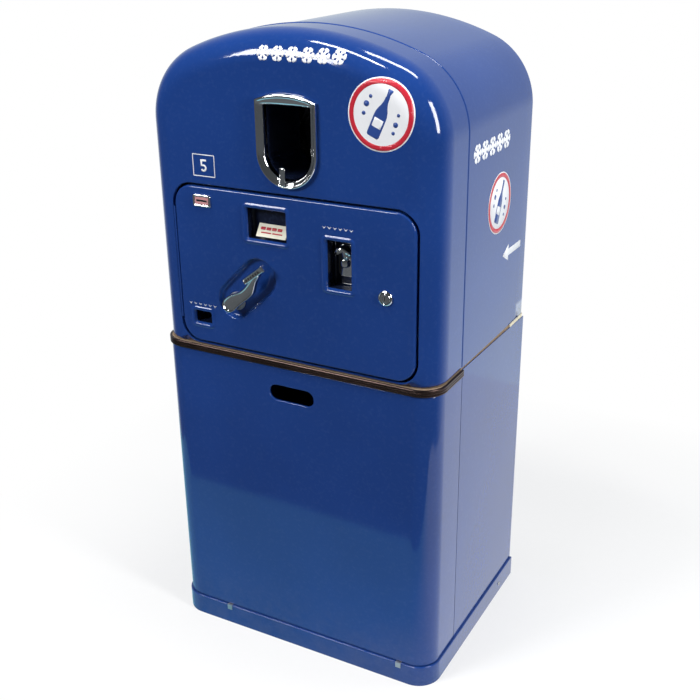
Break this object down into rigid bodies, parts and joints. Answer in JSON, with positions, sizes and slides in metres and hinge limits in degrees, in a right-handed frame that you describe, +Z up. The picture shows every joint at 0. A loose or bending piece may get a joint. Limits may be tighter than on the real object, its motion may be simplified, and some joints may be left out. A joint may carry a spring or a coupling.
{
  "type": "bottle vending machine",
  "caption": "Round-topped blue coin-operated bottle vending machine: swinging upper door with coin panel, crank and vend port, rotary bottle drum, base cabinet with cooling unit.",
  "frame": {"origin": "centre of the base's footprint, on the floor", "axes": "+Z up, the front faces -Y, +X is the right side seen from the front"},
  "size_m": [0.6484, 0.507, 1.3339],
  "materials": {
    "blue_enamel": "gloss",
    "chrome": "polished",
    "bronze_strip": "satin",
    "cream_packing": "matt",
    "fibre_board": "matt",
    "galvanised": "satin",
    "tank_white": "satin",
    "foam": "matt",
    "black_rubber": "matt",
    "black_paint": "satin",
    "steel": "satin",
    "bronze": "satin",
    "copper": "satin",
    "aluminium": "satin",
    "black_plastic": "matt",
    "card": "matt",
    "gasket": "matt",
    "dark_cup": "satin",
    "white_ink": "gloss",
    "red_ink": "gloss",
    "blue_ink": "gloss"
  },
  "bodies": {
    "cabinet": {"base_plinth": "blue_enamel", "lower_cabinet_shell": "blue_enamel", "lower_rear_panel": "blue_enamel", "cabinet_screws": "steel", "joint_board": "fibre_board", "trim_strip": "bronze_strip", "joint_shims": "cream_packing", "panel_clips": "steel", "compressor": "black_paint", "compressor_feet": "black_rubber", "condenser": "aluminium", "fan_shroud": "black_paint", "fan_motor": "black_paint", "refrigerant_lines": "copper", "thermostat_box": "galvanised", "wiring_box": "galvanised", "cord_gland": "black_rubber", "upper_cabinet_shell": "blue_enamel", "upper_back_panel": "blue_enamel", "tank_liner": "tank_white", "tank_insulation": "foam", "door_hinge_cabinet_leaves": "blue_enamel", "door_hinge_pins": "steel", "drum_axle": "steel", "evaporator_coil": "copper"},
    "drum": {"drum_frame": "galvanised", "drum_bushes": "bronze", "drum_bottle_tubes": "galvanised", "drum_rim_band": "galvanised", "drum_ratchet_ring": "steel"},
    "stop_pawl": {"stop_pawl": "steel"},
    "upper_door": {"door_shell": "blue_enamel", "door_liner": "galvanised", "door_gasket": "gasket", "door_hinge_door_leaves": "blue_enamel", "port_bezel": "chrome", "port_sleeve": "dark_cup", "port_post": "chrome", "panel_hinge_door_leaf": "blue_enamel"},
    "index_crank": {"index_crank": "steel"},
    "drive_pawl": {"drive_pawl": "steel"},
    "coin_panel": {"coin_panel": "blue_enamel", "coin_slot_bezel": "chrome", "card_frame": "dark_cup", "price_card": "card", "coin_return_cup": "dark_cup", "opener_recess": "dark_cup", "bottle_opener": "chrome", "lock_barrel": "chrome", "crank_collar": "steel", "coin_mechanism": "galvanised", "panel_hinge_panel_leaf": "blue_enamel"},
    "lock_plug": {"lock_plug": "chrome"},
    "crank": {"crank_shaft": "steel", "crank_lever": "chrome"},
    "coin_box": {"coin_box": "galvanised"},
    "cap_box": {"cap_box": "galvanised"},
    "lower_panel": {"lower_front_panel": "blue_enamel"},
    "fan": {"fan_blades": "aluminium"},
    "thermostat_knob": {"thermostat_knob": "black_plastic"}
  },
  "joints": [
    {"name": "drum_turn", "type": "hinge", "parent": "cabinet", "child": "drum", "pos_m": [0.012, 0.04, 0.981], "axis": [0, 1, 0], "continuous": true},
    {"name": "stop_pawl_swing", "type": "hinge", "parent": "cabinet", "child": "stop_pawl", "pos_m": [-0.23472, -0.075, 1.11357], "axis": [0, 1, 0], "range_deg": [-20, 8]},
    {"name": "upper_door_swing", "type": "hinge", "parent": "cabinet", "child": "upper_door", "pos_m": [-0.3205, -0.1075, 0.95], "axis": [0, 0, -1], "range_deg": [0, 110]},
    {"name": "index_crank_turn", "type": "hinge", "parent": "upper_door", "child": "index_crank", "pos_m": [-0.125, -0.11, 0.803], "axis": [0, 1, 0], "range_deg": [0, 90]},
    {"name": "drive_pawl_swing", "type": "hinge", "parent": "index_crank", "child": "drive_pawl", "pos_m": [-0.11648, -0.075, 0.73755], "axis": [0, 1, 0], "range_deg": [-15, 5]},
    {"name": "coin_panel_swing", "type": "hinge", "parent": "upper_door", "child": "coin_panel", "pos_m": [-0.2585, -0.237, 0.868], "axis": [0, 0, -1], "range_deg": [0, 95]},
    {"name": "lock_turn", "type": "hinge", "parent": "coin_panel", "child": "lock_plug", "pos_m": [0.2137, -0.23, 0.8675], "axis": [0, -1, 0], "range_deg": [0, 90]},
    {"name": "crank_turn", "type": "hinge", "parent": "coin_panel", "child": "crank", "pos_m": [-0.125, -0.2, 0.803], "axis": [0, 1, 0], "range_deg": [0, 90]},
    {"name": "coin_box_lift", "type": "slide", "parent": "coin_panel", "child": "coin_box", "axis": [0, 0, 1], "range_m": [0, 0.06]},
    {"name": "cap_box_slide", "type": "slide", "parent": "coin_panel", "child": "cap_box", "axis": [0, 1, 0], "range_m": [0, 0.025]},
    {"name": "front_panel_slide", "type": "slide", "parent": "cabinet", "child": "lower_panel", "axis": [0, -1, 0], "range_m": [0, 0.14]},
    {"name": "fan_turn", "type": "hinge", "parent": "cabinet", "child": "fan", "pos_m": [0.161, 0.158, 0.173], "axis": [0, 1, 0], "continuous": true},
    {"name": "thermostat_turn", "type": "hinge", "parent": "cabinet", "child": "thermostat_knob", "pos_m": [-0.3023, -0.076, 0.58], "axis": [0, 1, 0], "range_deg": [0, 270]}
  ],
  "couplings": [
    {"joint": "index_crank_turn", "follows": "crank_turn", "ratio": 1}
  ]
}
